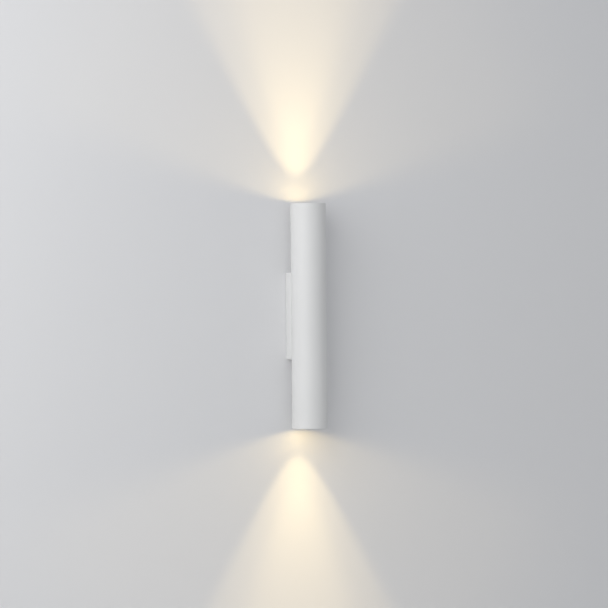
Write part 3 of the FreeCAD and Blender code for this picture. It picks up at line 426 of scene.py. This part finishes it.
def grubScrew(skin, frameOf, screw, recess, material):  # top at height 0
    radius, depth, bottom = screw["diameter"] / 2, screw["recessDepth"], -screw["length"]
    rows = [(0, -depth * grubShape["recessPoint"]), (recess, -depth), (recess, 0),
            (radius - grubShape["bevel"], 0)]
    rows += threaded(screw["diameter"], screw["pitch"], -grubShape["bevel"], bottom + grubShape["point"])
    rows += [(radius * grubShape["tip"], bottom), (0, bottom)]
    skin.turn(frameOf, rows, material)


# Frames: +Z of the turned shape goes along the given direction, from the given place in millimetres
def lay(x, y, z, direction):
    turn = Vector(direction).to_track_quat("Z", "Y").to_matrix().to_4x4()
    return Matrix.Translation(Vector((x, y, z))) @ turn


def moved(place, x, y, z):
    return place @ Matrix.Translation(Vector((x, y, z)))


def lampEnd(end):  # the lamp's front plane is height 0, and it points out of the tube
    up = 1 if end == "upper" else -1
    place = Matrix.Translation(Vector((0, tubeMiddle.y / mm, up * lampFront / mm)))
    return place if end == "upper" else place @ Matrix.Rotation(math.pi, 4, "Y")


def reach(node, axis):  # lowest and highest place of a node along an axis, in millimetres
    low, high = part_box(node)
    return low[axis] / mm, high[axis] / mm


# Screws that clamp the block, the tube and the carrier together, and their rivet nuts. The bulge's curve goes
# inward from its radius and down from its top.
blockScrew = {"diameter": 4, "pitch": 0.7, "length": 12, "head": 8, "headHeight": 2.2, "recess": 4.4,
              "spacing": 100}
rivetNut = {"flange": 9, "shank": 6, "bulge": 8, "bulgeHeight": 2.5, "thread": 4.1, "sheet": 1.5,
            "bulgeCurve": ((0.3, 1.875), (0, 1), (0.2, 0.05)), "round": 0.25}


def addBlockScrews():
    skin = Skin("blockScrewPair")
    seat = reach("block_screws", 1)[1] - blockScrew["headHeight"]
    for side in (1, -1):
        panScrew(skin, lay(0, seat, side * blockScrew["spacing"] / 2, (0, 1, 0)), blockScrew, zincSteel)
    skin.finished("luminaire", "zinc_plated_steel", "block_screws")


def addRivetNuts():
    skin = Skin("rivetNutPair")
    tip, back = reach("rivet_nuts", 1)
    length = back - tip
    stripBack = back - reach("lamp_carrier", 1)[1]
    bulgeTop = -stripBack - rivetNut["sheet"]
    bore, shank, bulge = rivetNut["thread"] / 2, rivetNut["shank"] / 2, rivetNut["bulge"] / 2
    flange = rivetNut["flange"] / 2
    outline = [(bore, -length), (shank, -length), (shank, bulgeTop - rivetNut["bulgeHeight"])]
    outline += [(bulge - inward, bulgeTop - down) for inward, down in rivetNut["bulgeCurve"]]
    outline += [(shank, bulgeTop), (shank, -stripBack), (flange, -stripBack), (flange, 0), (bore, 0)]
    for side in (1, -1):
        skin.turn(lay(0, back, side * blockScrew["spacing"] / 2, (0, 1, 0)),
                  softened(outline, rivetNut["round"]), zincSteel, closed=True)
    skin.finished("luminaire", "zinc_plated_steel", "rivet_nuts")


addBlockScrews()
addRivetNuts()

# Socket set screws in the top and bottom of the block
lockingScrew = {"diameter": 3, "pitch": 0.5, "recess": 1.5, "recessDepth": 1.6, "clear": 0.05}


def addLockingScrews():
    skin = Skin("lockingScrewPair")
    y = sum(reach("locking_screws", 1)) / 2
    top = reach("locking_screws", 2)[1]
    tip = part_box("wall_plate")[1].z / mm + lockingScrew["clear"]
    screw = {**lockingScrew, "length": top - tip}
    for side in (1, -1):
        place = lay(0, y, side * top, (0, 0, side))
        grubScrew(skin, place, screw, hexRecess(lockingScrew["recess"]), blackSteel)
    skin.finished("luminaire", "black_steel", "locking_screws")


addLockingScrews()

# Push-in cable bush with a rounded lip
bush = {"bore": 8, "sleeve": 12, "flange": 16, "plate": 1.5, "lip": 0.65, "taper": 0.4}


def addCableBush():
    skin = Skin("cableBush")
    front = -reach("cable_grommet", 1)[0]
    outline = [(bush["bore"] / 2, 0), (bush["sleeve"] / 2, 0), (bush["sleeve"] / 2, bush["plate"]),
               (bush["flange"] / 2, bush["plate"]), (bush["flange"] / 2 - bush["taper"], front),
               (bush["bore"] / 2, front)]
    rounded = softened(outline, bush["lip"], steps=4)
    skin.turn(lay(0, 0, 0, (0, -1, 0)), rounded, rubber, count=64, closed=True)
    skin.finished("wall_mount", "black_rubber", "cable_grommet")


addCableBush()
print("block, plate and clamp screws made")

# Terminal block: a moulded barrel for each pole, grooves between them, a shaft over each screw
terminal = {"pitch": 10, "barrel": 7.8, "groove": 3, "corner": 0.8,
            "edge": ((0, 0.4), (0.12, 0.12), (0.4, 0)), "wireHole": 5.7, "shaft": 3.4,
            "fixingHole": 3.4, "screwSpacing": 9, "clampHeight": 5,
            "cutPast": 1, "poles": (-1, 0, 1)}
terminalScrew = {"diameter": 3, "pitch": 0.5, "recess": 2.4, "slot": 0.6, "recessDepth": 0.7,
                 "turnByPole": 0.5, "turnByRow": 0.4}
fixingScrew = {"diameter": 3, "pitch": 0.5, "head": 5.5, "headHeight": 1.8, "recess": 3.2}


def carved(item, cutters):  # cut the cutters out of the item, then drop them
    for cutter in cutters:
        item.modifiers.new(cutter.name, "BOOLEAN").object = cutter
    bpy.context.view_layer.update()
    whole = item.evaluated_get(bpy.context.evaluated_depsgraph_get())
    mesh = bpy.data.meshes.new_from_object(whole)
    item.modifiers.clear()
    item.data = mesh
    for cutter in cutters:
        bpy.data.objects.remove(cutter)
    mesh.shade_smooth()
    mesh.set_sharp_from_angle(angle=math.radians(sharpAngle))


def plug(name, frameOf, radius, low, high):  # a round cutter
    skin = Skin(name)
    skin.turn(frameOf, [(0, low), (radius, low), (radius, high), (0, high)], nylon, count=32)
    mesh = bpy.data.meshes.new(name)
    mesh.from_pydata([point * mm for point in skin.points], [], skin.faces)
    outward(mesh)
    mesh.materials.append(nylon)
    item = bpy.data.objects.new(name, mesh)
    bpy.context.scene.collection.objects.link(item)
    return item


def addTerminalBlock():
    skin = Skin("terminalBlock")
    front, back = reach("terminal_block", 1)
    low, high = reach("terminal_block", 2)
    side = reach("terminal_block", 0)[1]
    half = terminal["barrel"] / 2
    outline = [(-side, front), (side, front)]
    for pole in reversed(terminal["poles"]):
        middle = pole * terminal["pitch"]
        right, left = min(side, middle + half), max(-side, middle - half)
        foot = back - terminal["groove"]
        if right < side:
            outline.append((right, foot))
        outline += [(right, back), (left, back)]
        if left > -side:
            outline.append((left, foot))
    section = softened(outline, terminal["corner"])
    middleY = (front + back) / 2
    levels = [(low + up, inset) for up, inset in terminal["edge"]]
    levels += [(high - up, inset) for up, inset in reversed(terminal["edge"])]
    rows = []
    for height, inset in levels:
        share = 1 - inset / side
        rows.append([(x * share, (y - middleY) * share + middleY, height) for x, y in section])
    skin.loft(Matrix(), rows, nylon)
    item = skin.finished("luminaire", "terminal_nylon", "terminal_block")
    clampY = front + terminal["clampHeight"]
    past = terminal["cutPast"]
    cutters = []
    for pole in terminal["poles"]:
        x = pole * terminal["pitch"]
        cutters.append(plug(f"wireHole{pole}", lay(x, clampY, 0, (0, 0, 1)), terminal["wireHole"] / 2,
                            low - past, high + past))
        for up in (1, -1):
            place = lay(x, clampY, up * terminal["screwSpacing"] / 2, (0, 1, 0))
            cutters.append(plug(f"shaft{pole}{up}", place, terminal["shaft"] / 2, 0, back - clampY + past))
    for step in (1, -1):
        place = lay(step * terminal["pitch"] / 2, front, 0, (0, 1, 0))
        cutters.append(plug(f"fixingHole{step}", place, terminal["fixingHole"] / 2,
                            -past, back - front + past))
    carved(item, cutters)


def addTerminalScrews():
    skin = Skin("terminalScrewSet")
    tip, top = reach("terminal_screws", 1)
    screw = {**terminalScrew, "length": top - tip}
    for pole in terminal["poles"]:
        for up in (1, -1):
            place = lay(pole * terminal["pitch"], top, up * terminal["screwSpacing"] / 2, (0, 1, 0))
            odd = terminalScrew["turnByPole"] * pole + terminalScrew["turnByRow"] * up  # slots at odd angles
            recess = armedRecess(2, screw["slot"], screw["recess"])
            grubScrew(skin, place @ Matrix.Rotation(odd, 4, "Z"), screw, recess, zincSteel)
    skin.finished("luminaire", "zinc_plated_steel", "terminal_screws")


def addFixingScrews():
    skin = Skin("terminalFixingScrewPair")
    tip, top = reach("terminal_fixing_screws", 1)
    seat = top - fixingScrew["headHeight"]
    screw = {**fixingScrew, "length": seat - tip}
    for step in (1, -1):
        panScrew(skin, lay(step * terminal["pitch"] / 2, seat, 0, (0, 1, 0)), screw, zincSteel)
    skin.finished("luminaire", "zinc_plated_steel", "terminal_fixing_screws")


addTerminalBlock()
addTerminalScrews()
addFixingScrews()

# Earth screw on its ring tag
earthScrew = {"diameter": 4, "pitch": 0.7, "head": 7, "headHeight": 2.4, "recess": 3.8}


def addEarthScrew():
    skin = Skin("earthScrew")
    tip, top = reach("earth_screw", 1)
    seat = top - earthScrew["headHeight"]
    x, z = sum(reach("earth_screw", 0)) / 2, sum(reach("earth_screw", 2)) / 2
    panScrew(skin, lay(x, seat, z, (0, 1, 0)), {**earthScrew, "length": seat - tip}, brass)
    skin.finished("luminaire", "brass", "earth_screw")


addEarthScrew()
print("terminals and earth made")

# Lampholder screws, in the holder's two counterbores
holderScrew = {"diameter": 3, "pitch": 0.5, "head": 5.5, "headHeight": 1.8, "recess": 3.2, "spacing": 17}

# Twist-lock lamp: heights run down from the front plane
lamp = {"rim": 25, "rimHeight": 8, "edge": 0.5, "lensSeat": 22.4, "lensBack": 3, "wall": 2, "ledge": 13,
        "boardSeat": 18.6, "board": 15.1, "boardTop": 17, "neck": 15.5, "height": 32, "coneRows": 14,
        "spigot": 12.1, "spigotHeight": 3, "flutes": 30, "fluteDepth": 0.7, "fluteFade": 3}
lens = {"radius": 22.3, "top": 0.5, "bottom": 3, "groove": 0.9, "grooveFoot": 0.8, "grooveDepth": 0.14,
        "clear": 4.5, "rim": 20.6, "round": 0.5}
board = {"radius": 15, "top": 17, "bottom": 18.6, "edge": 0.05, "edgeShare": 0.997, "notch": 1.2,
         "notchAngle": 0.12}
# The pad's and the solder's profiles are shares of the radius, and millimetres down from the chip's top or up
# from the board
chip = {"side": 9, "corner": 0.4, "top": 16, "shoulder": 0.3, "face": 0.2, "bevel": 0.1, "pad": 3.7,
        "padProfile": ((0, 0.25), (1, 0.25), (1, 0.1), (0.9, 0), (0.8, 0.04), (0, 0))}
solder = {"place": 10.5, "width": 2.2, "profile": ((0, -0.1), (1, -0.1), (1, 0.06), (0.6, 0.5), (0, 0.62))}
reflector = {"foot": 6.75, "mouth": 19.2, "low": 16.9, "high": 3.1, "wall": 1, "facets": 24, "bow": 1.6,
             "rows": 10, "facetAngle": 8}
pin = {"spacing": 10, "neck": 3, "head": 5, "headHeight": 2.2, "length": 7.5, "seat": 46.5, "round": 0.45}


def addHolderScrews(end):
    skin = Skin(f"{end}HolderScrewPair")
    low, high = (abs(z) for z in reach(f"{end}_holder_screws", 2))
    top, tip = max(low, high) - lampFront / mm, min(low, high) - lampFront / mm
    seat = top - holderScrew["headHeight"]
    for side in (1, -1):
        place = moved(lampEnd(end), 0, side * holderScrew["spacing"] / 2, seat)
        panScrew(skin, place, {**holderScrew, "length": seat - tip}, zincSteel)
    skin.finished("luminaire", "zinc_plated_steel", f"{end}_holder_screws")


def fluted(radius, height):  # shallow flutes down the cup's cone, fading out at both ends
    fade = min(1, (-height - lamp["rimHeight"]) / lamp["fluteFade"],
               (lamp["height"] + height) / lamp["fluteFade"])

    def wall(angle):
        wave = 0.5 - 0.5 * math.cos(angle * lamp["flutes"])
        return radius - lamp["fluteDepth"] * wave * max(0, fade)
    return wall


def addLampShell(end):
    skin = Skin(f"{end}LampShell")
    seat, back = -lamp["boardSeat"], -lamp["height"]
    inner, lensBack = lens["radius"] - lamp["wall"], -lamp["lensBack"]
    rows = [(lamp["lensSeat"], 0), (lamp["rim"] - lamp["edge"], 0), (lamp["rim"], -lamp["edge"]),
            (lamp["rim"], -lamp["rimHeight"])]
    for step in range(1, lamp["coneRows"]):
        share = step / lamp["coneRows"]
        height = -lamp["rimHeight"] - (lamp["height"] - lamp["rimHeight"]) * share
        rows.append((fluted(lamp["rim"] + (lamp["neck"] - lamp["rim"]) * share, height), height))
    rows += [(lamp["neck"], back), (lamp["spigot"], back), (lamp["spigot"], back + lamp["spigotHeight"]),
             (lamp["ledge"], seat - lamp["wall"]), (lamp["ledge"], seat), (lamp["board"], seat),
             (lamp["board"], -lamp["boardTop"]), (inner, lensBack - lamp["wall"]), (inner, lensBack),
             (lamp["lensSeat"], lensBack)]
    skin.turn(lampEnd(end), rows, lampPlastic, count=lamp["flutes"] * 8, closed=True)
    skin.finished(f"{end}_lamp", "white_lamp_plastic", f"{end}_lamp_shell")


def addLampLens(end):
    skin = Skin(f"{end}LampLens")
    top, bottom, radius = -lens["top"], -lens["bottom"], lens["clear"]
    rows = [(0, top), (radius, top)]
    while radius + lens["groove"] < lens["rim"]:  # fine ring grooves spread the beam
        rows.append((radius + lens["groove"] * lens["grooveFoot"], top - lens["grooveDepth"]))
        radius += lens["groove"]
        rows.append((radius, top))
    edge = [(lens["rim"], top), (lens["radius"], top), (lens["radius"], bottom), (0, bottom)]
    rows += softened(edge, lens["round"], closed=False)
    skin.turn(lampEnd(end), rows, frosted, count=96)
    skin.finished(f"{end}_lamp", "diffuser", f"{end}_lamp_lens")


def roundedSquare(half, height):
    square = [(-half, -half), (half, -half), (half, half), (-half, half)]
    return [(x, y, height) for x, y in softened(square, chip["corner"], steps=4)]


def addLedBoard(end):
    skin = Skin(f"{end}LedBoard")
    place = lampEnd(end)

    def notched(angle):  # two notches in the board's edge for the driver's wires
        off = offNearest(angle, 2)
        return board["radius"] - board["notch"] * max(0, 1 - (off / board["notchAngle"]) ** 2)
    low, high = -board["bottom"], -board["top"]
    skin.turn(place, [(0, low), (notched, low), (notched, high - board["edge"]),
                      (scaled(notched, board["edgeShare"]), high), (0, high)], mask, count=160)
    half, top = chip["side"] / 2, -chip["top"]
    skin.loft(place, [roundedSquare(half, high), roundedSquare(half, top - chip["shoulder"]),
                      roundedSquare(half - chip["bevel"], top - chip["face"])], mask)
    skin.turn(place, [(chip["pad"] * share, top - down) for share, down in chip["padProfile"]], phosphor)
    for side in (1, -1):
        rows = [(solder["width"] / 2 * share, up) for share, up in solder["profile"]]
        skin.turn(moved(place, side * solder["place"], 0, high), rows, tin, count=24)
    skin.finished(f"{end}_lamp", "led_board", f"{end}_led_board")


def addReflector(end):
    skin = Skin(f"{end}LampReflector")

    def faceted(radius):
        apothem = radius * math.cos(math.pi / reflector["facets"])
        return lambda angle: apothem / math.cos(offNearest(angle, reflector["facets"]))
    rows = []
    for step in range(reflector["rows"] + 1):
        share = step / reflector["rows"]
        bow = reflector["bow"] * 4 * share * (1 - share)  # fullest half way up
        height = -reflector["low"] + (reflector["low"] - reflector["high"]) * share
        rows.append((reflector["foot"] + (reflector["mouth"] - reflector["foot"]) * share + bow, height))
    inside = [(faceted(radius), height) for radius, height in rows]
    outside = [(radius + reflector["wall"], height) for radius, height in reversed(rows)]
    skin.turn(lampEnd(end), inside + outside, mirrorCoat, count=reflector["facets"] * 4, closed=True)
    skin.finished(f"{end}_lamp", "reflector_coat", f"{end}_lamp_reflector", smooth=reflector["facetAngle"])


def addLampPins(end):
    skin = Skin(f"{end}LampPinPair")
    neck, head, seat = pin["neck"] / 2, pin["head"] / 2, -pin["seat"]
    back = seat - pin["length"]
    outline = [(neck, seat), (neck, back + pin["headHeight"]), (head, back + pin["headHeight"]), (head, back),
               (0, back)]
    rows = [(0, seat)] + softened(outline, pin["round"], closed=False)
    for side in (1, -1):
        skin.turn(moved(lampEnd(end), side * pin["spacing"] / 2, 0, 0), rows, nickel, count=40)
    skin.finished(f"{end}_lamp", "nickel", f"{end}_lamp_pins")


for end in ends:
    addHolderScrews(end)
    addLampShell(end)
    addLampLens(end)
    addLedBoard(end)
    addReflector(end)
    addLampPins(end)
    print(end, "lamp made")

# Camera at the photograph's angle: 32 degrees left of straight on, level, from 6 m
camera = {"azimuth": -32, "distance": 6, "lens": 228.6, "aimLeft": 7.5, "aimUp": 18.6, "roll": -0.48}


def towards(azimuth, elevation=0):  # direction out from the tube, by degrees round it and up
    turn, lift = math.radians(azimuth), math.radians(elevation)
    return Vector((math.sin(turn) * math.cos(lift), -math.cos(turn) * math.cos(lift), math.sin(lift)))


def addCamera():
    data = bpy.data.cameras.new("camera")
    data.lens = camera["lens"]
    item = bpy.data.objects.new("camera", data)
    bpy.context.scene.collection.objects.link(item)
    back = towards(camera["azimuth"])
    right = Vector((-back.y, back.x, 0))
    aim = tubeMiddle - right * camera["aimLeft"] * mm + Vector((0, 0, camera["aimUp"] * mm))
    item.location = aim + back * camera["distance"]
    item.rotation_mode = "QUATERNION"
    level = (-back).to_track_quat("-Z", "Y")
    item.rotation_quaternion = level @ Matrix.Rotation(math.radians(camera["roll"]), 3, "Z").to_quaternion()
    bpy.context.scene.camera = item


addCamera()

# Stage: a pale backdrop just behind the wall plate, and a pale floor; sizes in metres
stage = {"backdropColour": "#E6E6E7", "backdropRoughness": 0.9, "floorColour": "#DADAD8",
         "floorRoughness": 0.8, "gap": 0.0002, "closeBy": 0.012, "half": 4.0, "floor": -0.9, "top": 3.0}


def stagePlane(name, corners, material):
    mesh = bpy.data.meshes.new(name)
    mesh.from_pydata([Vector(corner) for corner in corners], [], [range(4)])
    mesh.materials.append(material)
    item = bpy.data.objects.new(name, mesh)
    bpy.context.scene.collection.objects.link(item)


# The backdrop is clear from behind, to shadow rays and to what lies close before it, so that the back of the
# part is lit and seen
def backdropPaint():
    material, tree, surface = plainMaterial("backdropPaint", stage["backdropColour"], 0,
                                            stage["backdropRoughness"])
    behind = addNode(tree, "ShaderNodeNewGeometry").outputs["Backfacing"]
    path = addNode(tree, "ShaderNodeLightPath")
    close = addNode(tree, "ShaderNodeMath", {"operation": "LESS_THAN", 1: stage["closeBy"]},
                    {0: path.outputs["Ray Length"]})
    back = addNode(tree, "ShaderNodeMath", {"operation": "MAXIMUM"},
                   {0: behind, 1: path.outputs["Is Shadow Ray"]})
    either = addNode(tree, "ShaderNodeMath", {"operation": "MAXIMUM"},
                     {0: back.outputs[0], 1: close.outputs[0]})
    clear = addNode(tree, "ShaderNodeBsdfTransparent")
    choice = addNode(tree, "ShaderNodeMixShader", {}, {0: either.outputs[0], 1: surface.outputs[0],
                                                       2: clear.outputs[0]})
    tree.links.new(choice.outputs[0], tree.nodes["Material Output"].inputs["Surface"])
    return material


def addStage():
    half, low, high, y = stage["half"], stage["floor"], stage["top"], stage["gap"]
    stagePlane("backdrop", [(-half, y, low), (half, y, low), (half, y, high), (-half, y, high)],
               backdropPaint())
    floorPaint = plainMaterial("floorPaint", stage["floorColour"], 0, stage["floorRoughness"])[0]
    stagePlane("floor", [(-half, -half, low), (half, -half, low), (half, half, low), (-half, half, low)],
               floorPaint)


addStage()

# Light: an even pale surround and one broad soft lamp, placed round the tube's middle; sizes in metres
world = {"colour": "#F4F6FA", "strength": 0.58}
keyLamp = {"azimuth": -63, "elevation": 20, "distance": 1.85, "size": 1.9, "power": 18.5, "colour": "#FFFFFF"}

# The lamps' own beams, from just in front of each lens: cone in degrees, radius and height in millimetres
beams = {
    "Core": {"cone": 52, "blend": 1, "power": 46, "radius": 6, "height": 1},
    "Main": {"cone": 68, "blend": 0.42, "power": 54, "radius": 6, "height": 1},
    "Spill": {"cone": 174, "blend": 0.35, "power": 16, "radius": 5, "height": 11},
}
# A camera holds back bright light: the beams keep their strength over the backdrop up to the first distance
# and are gone at the second, in metres
reachOfBeams = {"full": 0.42, "gone": 0.62}


def addStudioLights():
    scene = bpy.context.scene
    scene.world = bpy.data.worlds.new("surround")
    scene.world.use_nodes = True
    background = scene.world.node_tree.nodes["Background"]
    background.inputs["Color"].default_value = linear(world["colour"])
    background.inputs["Strength"].default_value = world["strength"]
    data = bpy.data.lights.new("keyLamp", "AREA")
    data.shape = "DISK"
    data.size = keyLamp["size"]
    data.energy = keyLamp["power"]
    data.color = linear(keyLamp["colour"])[:3]
    item = bpy.data.objects.new("keyLamp", data)
    scene.collection.objects.link(item)
    back = towards(keyLamp["azimuth"], keyLamp["elevation"])
    item.location = tubeMiddle + back * keyLamp["distance"]
    item.rotation_euler = back.to_track_quat("Z", "Y").to_euler()


def addBeams(end):
    for name, beam in beams.items():
        data = bpy.data.lights.new(f"{end}{name}", "SPOT")
        data.spot_size = math.radians(beam["cone"])
        data.spot_blend = beam["blend"]
        data.energy = beam["power"]
        data.shadow_soft_size = beam["radius"] * mm
        data.color = linear(lampGlow["colour"])[:3]
        data.use_nodes = True
        tree = data.node_tree
        far = addNode(tree, "ShaderNodeLightPath").outputs["Ray Length"]
        share = addNode(tree, "ShaderNodeMapRange",
                        {"From Min": reachOfBeams["full"], "From Max": reachOfBeams["gone"],
                         "To Min": 1, "To Max": 0}, {"Value": far})
        falloff = addNode(tree, "ShaderNodeLightFalloff", {}, {"Strength": share.outputs[0]})
        tree.links.new(falloff.outputs["Constant"], tree.nodes["Emission"].inputs["Strength"])
        item = bpy.data.objects.new(f"{end}{name}", data)
        bpy.context.scene.collection.objects.link(item)
        place = moved(lampEnd(end), 0, 0, beam["height"]) @ Matrix.Rotation(math.pi, 4, "X")
        place.translation *= mm
        item.matrix_world = place
        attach(item, f"{end}_lamp")


addStudioLights()
for end in ends:
    addBeams(end)
print("camera, stage and lights placed")

bpy.context.scene.view_settings.view_transform = "Standard"
